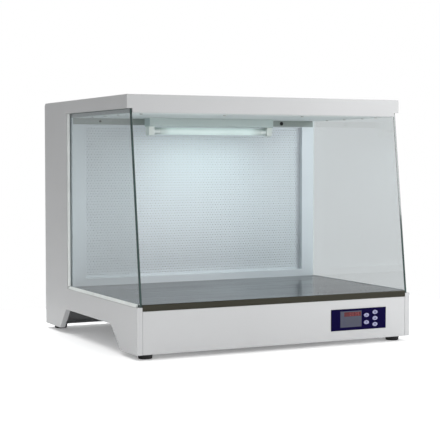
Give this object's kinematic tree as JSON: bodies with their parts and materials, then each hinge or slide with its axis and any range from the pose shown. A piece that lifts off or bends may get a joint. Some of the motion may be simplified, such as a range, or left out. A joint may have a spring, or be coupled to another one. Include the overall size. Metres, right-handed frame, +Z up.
{
  "type": "laminar flow fume hood",
  "caption": "Bench-top laminar-flow hood with an open front, glass sides, a filter diffuser back wall, a lamp and a control panel in its base.",
  "frame": {"origin": "on the table under the middle of the hood: the bottom centre of its bounding box", "axes": "+Z up, -Y towards the open front, +X to the right seen from the front"},
  "size_m": [0.65, 0.5702, 0.531],
  "materials": {
    "painted_steel": "light grey powder coat",
    "inner_white": "white powder coat",
    "clear_glass": "clear tempered glass, polished edges",
    "worktop_steel": "satin stainless steel",
    "zinc_steel": "galvanised sheet",
    "tray_steel": "grey powder coat",
    "screw_steel": "zinc-plated fasteners",
    "glazing_rubber": "black glazing tape",
    "filter_aluminium": "anodised filter case",
    "filter_paper": "pleated glass-fibre paper",
    "gasket_foam": "closed-cell foam",
    "fan_plastic": "moulded black plastic",
    "fan_motor_steel": "black coated steel",
    "fan_motor_aluminium": "die-cast aluminium",
    "bright_steel": "ground steel",
    "cassette_plastic": "moulded black plastic",
    "prefilter_fleece": "white polyester fleece",
    "foot_rubber": "black rubber",
    "lamp_white": "white enamel",
    "holder_plastic": "white moulded plastic",
    "lamp_glass": "phosphor-coated fluorescent tube",
    "cap_metal": "pressed aluminium",
    "control_navy": "navy blue front film",
    "display_lens": "tinted display window",
    "display_black": "liquid-crystal display unit",
    "key_pale": "pale keys with dark symbols",
    "switch_black": "black moulded switches",
    "circuit_green": "printed circuit board",
    "inlet_black": "black moulded plastic",
    "contact_brass": "plated brass",
    "fuse_glass": "glass fuse with metal caps",
    "supply_case": "pressed aluminium case",
    "terminal_plastic": "cream moulded plastic",
    "cable_grey": "grey flexible sheath"
  },
  "bodies": {
    "cabinet": {"base_tray": "tray_steel", "ceiling_panel": "inner_white", "ceiling_screws": "screw_steel", "clamp_bolts": "screw_steel", "control_bezel": "control_navy", "control_board": "circuit_green", "diffuser_plate": "inner_white", "display_module": "display_black", "display_window": "display_lens", "fan_bearings": "bright_steel", "fan_bracket": "zinc_steel", "fan_inlet_ring": "fan_plastic", "fan_stator": "fan_motor_aluminium", "filter_clamps": "zinc_steel", "filter_frame": "filter_aluminium", "filter_gasket": "gasket_foam", "filter_media": "filter_paper", "filter_surround": "inner_white", "foot_screws": "screw_steel", "front_panel": "painted_steel", "glass_left": "clear_glass", "glass_right": "clear_glass", "glass_seal_left": "glazing_rubber", "glass_seal_right": "glazing_rubber", "inlet_pins": "contact_brass", "key_switches": "switch_black", "lamp_ballast": "circuit_green", "lamp_holders": "holder_plastic", "lamp_housing": "lamp_white", "plenum_wall": "zinc_steel", "power_inlet": "inlet_black", "power_supply": "supply_case", "prefilter_rails": "zinc_steel", "rear_panel": "painted_steel", "rear_rails": "zinc_steel", "rear_screws": "screw_steel", "rubber_feet": "foot_rubber", "side_panel_left": "painted_steel", "side_panel_right": "painted_steel", "terminal_block": "terminal_plastic", "top_cover": "painted_steel", "wiring_harness": "cable_grey", "worktop": "worktop_steel"},
    "fan_wheel": {"fan_impeller": "fan_plastic", "fan_rotor": "fan_motor_steel", "fan_shaft": "bright_steel"},
    "lamp": {"lamp_tube": "lamp_glass", "lamp_caps": "cap_metal", "lamp_rotors": "holder_plastic"},
    "prefilter_cassette": {"prefilter_frame": "cassette_plastic", "prefilter_media": "prefilter_fleece"},
    "fuse_carrier": {"fuse_drawer": "inlet_black", "fuse_link": "fuse_glass"},
    "key_power_cap": {"key_power": "key_pale"},
    "key_fan_cap": {"key_fan": "key_pale"},
    "key_lamp_cap": {"key_lamp": "key_pale"},
    "key_up_cap": {"key_up": "key_pale"},
    "key_down_cap": {"key_down": "key_pale"}
  },
  "joints": [
    {"name": "fan_spin", "type": "hinge", "parent": "cabinet", "child": "fan_wheel", "pos_m": [0, 0.21, 0.3028], "axis": [0, 1, 0], "continuous": true},
    {"name": "lamp_turn", "type": "hinge", "parent": "cabinet", "child": "lamp", "pos_m": [0, 0.056, 0.464], "axis": [1, 0, 0], "range_deg": [0, 90]},
    {"name": "prefilter_slide", "type": "slide", "parent": "cabinet", "child": "prefilter_cassette", "axis": [-1, 0, 0], "range_m": [0, 0.36]},
    {"name": "fuse_drawer_slide", "type": "slide", "parent": "cabinet", "child": "fuse_carrier", "axis": [0, 1, 0], "range_m": [0, 0.018]},
    {"name": "key_power_press", "type": "slide", "parent": "cabinet", "child": "key_power_cap", "axis": [0, 1, 0], "range_m": [0, 0.0008], "stiffness_N_per_m": 1500, "springref_m": -0.0002},
    {"name": "key_fan_press", "type": "slide", "parent": "cabinet", "child": "key_fan_cap", "axis": [0, 1, 0], "range_m": [0, 0.0008], "stiffness_N_per_m": 1500, "springref_m": -0.0002},
    {"name": "key_lamp_press", "type": "slide", "parent": "cabinet", "child": "key_lamp_cap", "axis": [0, 1, 0], "range_m": [0, 0.0008], "stiffness_N_per_m": 1500, "springref_m": -0.0002},
    {"name": "key_up_press", "type": "slide", "parent": "cabinet", "child": "key_up_cap", "axis": [0, 1, 0], "range_m": [0, 0.0008], "stiffness_N_per_m": 1500, "springref_m": -0.0002},
    {"name": "key_down_press", "type": "slide", "parent": "cabinet", "child": "key_down_cap", "axis": [0, 1, 0], "range_m": [0, 0.0008], "stiffness_N_per_m": 1500, "springref_m": -0.0002}
  ]
}
